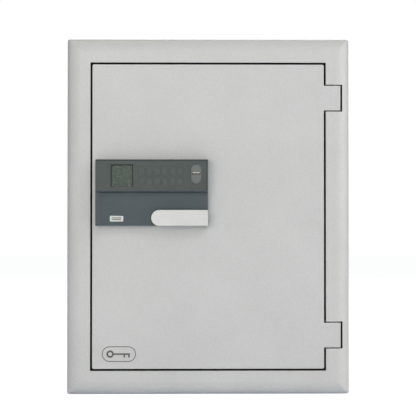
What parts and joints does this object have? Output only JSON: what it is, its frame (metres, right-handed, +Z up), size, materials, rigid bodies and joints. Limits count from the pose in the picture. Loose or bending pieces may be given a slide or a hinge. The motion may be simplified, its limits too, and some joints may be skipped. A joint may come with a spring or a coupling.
{
  "type": "wall safe",
  "caption": "Fire-resistant cabinet safe with a rounded mitred frame, a flush hinged door and an electronic lock unit whose lever throws sliding bolts.",
  "frame": {"origin": "centre of the cabinet's underside, on the surface it stands on", "axes": "+Z up, +Y from the door towards the back, +X to the right of a person facing the door"},
  "size_m": [0.494, 0.4585, 0.622],
  "materials": {
    "cabinet_paint": "semi-matt light grey powder coat",
    "back_paint": "semi-matt light grey powder coat",
    "interior_paint": "semi-matt light grey powder coat",
    "door_paint": "semi-matt light grey powder coat",
    "plated_steel": "zinc plated",
    "hinge_black": "matt black coat",
    "ground_steel": "ground steel",
    "bronze": "plain bronze",
    "mineral_filler": "rough mineral board",
    "seal_rubber": "soft black rubber",
    "fire_strip": "dull graphite strip",
    "unit_plastic": "fine textured dark grey plastic",
    "fascia_plastic": "smooth dark grey plastic",
    "key_plastic": "smooth dark grey plastic",
    "display_glass": "clear window",
    "display_face": "grey-green liquid crystal display",
    "sensor_trim": "satin grey plastic",
    "sensor_face": "dark glossy strip",
    "board_green": "solder mask",
    "badge_metal": "satin plate",
    "lever_paint": "satin off-white paint",
    "emblem_print": "dark grey print",
    "box_plastic": "fine textured black plastic",
    "battery_wrap": "plain printed wrap"
  },
  "bodies": {
    "cabinet": {"casing_top": "cabinet_paint", "casing_bottom": "cabinet_paint", "casing_sides": "cabinet_paint", "back_panel": "back_paint", "rebate_frame": "cabinet_paint", "inner_liner": "interior_paint", "wall_insulation": "mineral_filler", "back_insulation": "mineral_filler", "anchor_sleeves": "plated_steel", "strike_cups": "plated_steel", "hinge_housings": "hinge_black", "hinge_bushes": "bronze", "frame_gasket": "seal_rubber", "shelf": "interior_paint", "shelf_clips": "interior_paint"},
    "door": {"door_leaf": "door_paint", "door_insulation": "mineral_filler", "door_rear_plate": "door_paint", "boltwork_casing": "door_paint", "door_back_cover": "door_paint", "cover_screws": "plated_steel", "hinge_knuckles": "ground_steel", "hinge_pins": "ground_steel", "fixed_dogs": "ground_steel", "intumescent_strip": "fire_strip", "bolt_guides": "bronze", "spindle_tube": "ground_steel", "spindle_bush": "bronze", "lock_case": "plated_steel", "unit_mounting_plates": "plated_steel", "unit_housing": "unit_plastic", "keypad_fascia": "fascia_plastic", "display_window": "display_glass", "lcd_module": "display_face", "fingerprint_bezel": "sensor_trim", "fingerprint_sensor": "sensor_face", "circuit_board": "board_green", "unit_badge": "badge_metal", "door_emblem": "emblem_print", "battery_box": "box_plastic", "batteries": "battery_wrap"},
    "handle": {"handle_lever": "lever_paint", "spindle": "ground_steel", "crank": "plated_steel"},
    "boltwork": {"bolt_bar": "plated_steel", "lock_bolts": "ground_steel"},
    "blocking_pin": {"blocking_pin": "ground_steel"},
    "battery_lid": {"battery_lid": "box_plastic"},
    "key_on": {"key_on": "key_plastic"},
    "key_enter": {"key_enter": "key_plastic"},
    "key_0": {"key_0": "key_plastic"},
    "key_1": {"key_1": "key_plastic"},
    "key_2": {"key_2": "key_plastic"},
    "key_3": {"key_3": "key_plastic"},
    "key_4": {"key_4": "key_plastic"},
    "key_5": {"key_5": "key_plastic"},
    "key_6": {"key_6": "key_plastic"},
    "key_7": {"key_7": "key_plastic"},
    "key_8": {"key_8": "key_plastic"},
    "key_9": {"key_9": "key_plastic"}
  },
  "joints": [
    {"name": "door_hinge", "type": "hinge", "parent": "cabinet", "child": "door", "pos_m": [0.2197, -0.207, 0.311], "axis": [0, 0, 1], "range_deg": [0, 110]},
    {"name": "handle_turn", "type": "hinge", "parent": "door", "child": "handle", "pos_m": [-0.0845, -0.215, 0.3086], "axis": [0, 1, 0], "range_deg": [0, 90]},
    {"name": "bolt_slide", "type": "slide", "parent": "door", "child": "boltwork", "axis": [-1, 0, 0], "range_m": [0, 0.02]},
    {"name": "blocking_pin_slide", "type": "slide", "parent": "door", "child": "blocking_pin", "axis": [0, 0, 1], "range_m": [0, 0.008]},
    {"name": "battery_lid_slide", "type": "slide", "parent": "door", "child": "battery_lid", "axis": [0, 0, -1], "range_m": [0, 0.05]},
    {"name": "key_on_press", "type": "slide", "parent": "door", "child": "key_on", "axis": [0, 1, 0], "range_m": [0, 0.0008], "stiffness_N_per_m": 500},
    {"name": "key_enter_press", "type": "slide", "parent": "door", "child": "key_enter", "axis": [0, 1, 0], "range_m": [0, 0.0008], "stiffness_N_per_m": 500},
    {"name": "key_0_press", "type": "slide", "parent": "door", "child": "key_0", "axis": [0, 1, 0], "range_m": [0, 0.0008], "stiffness_N_per_m": 500},
    {"name": "key_1_press", "type": "slide", "parent": "door", "child": "key_1", "axis": [0, 1, 0], "range_m": [0, 0.0008], "stiffness_N_per_m": 500},
    {"name": "key_2_press", "type": "slide", "parent": "door", "child": "key_2", "axis": [0, 1, 0], "range_m": [0, 0.0008], "stiffness_N_per_m": 500},
    {"name": "key_3_press", "type": "slide", "parent": "door", "child": "key_3", "axis": [0, 1, 0], "range_m": [0, 0.0008], "stiffness_N_per_m": 500},
    {"name": "key_4_press", "type": "slide", "parent": "door", "child": "key_4", "axis": [0, 1, 0], "range_m": [0, 0.0008], "stiffness_N_per_m": 500},
    {"name": "key_5_press", "type": "slide", "parent": "door", "child": "key_5", "axis": [0, 1, 0], "range_m": [0, 0.0008], "stiffness_N_per_m": 500},
    {"name": "key_6_press", "type": "slide", "parent": "door", "child": "key_6", "axis": [0, 1, 0], "range_m": [0, 0.0008], "stiffness_N_per_m": 500},
    {"name": "key_7_press", "type": "slide", "parent": "door", "child": "key_7", "axis": [0, 1, 0], "range_m": [0, 0.0008], "stiffness_N_per_m": 500},
    {"name": "key_8_press", "type": "slide", "parent": "door", "child": "key_8", "axis": [0, 1, 0], "range_m": [0, 0.0008], "stiffness_N_per_m": 500},
    {"name": "key_9_press", "type": "slide", "parent": "door", "child": "key_9", "axis": [0, 1, 0], "range_m": [0, 0.0008], "stiffness_N_per_m": 500}
  ],
  "couplings": [
    {"joint": "bolt_slide", "follows": "handle_turn", "m_per_rad": 0.01273}
  ]
}
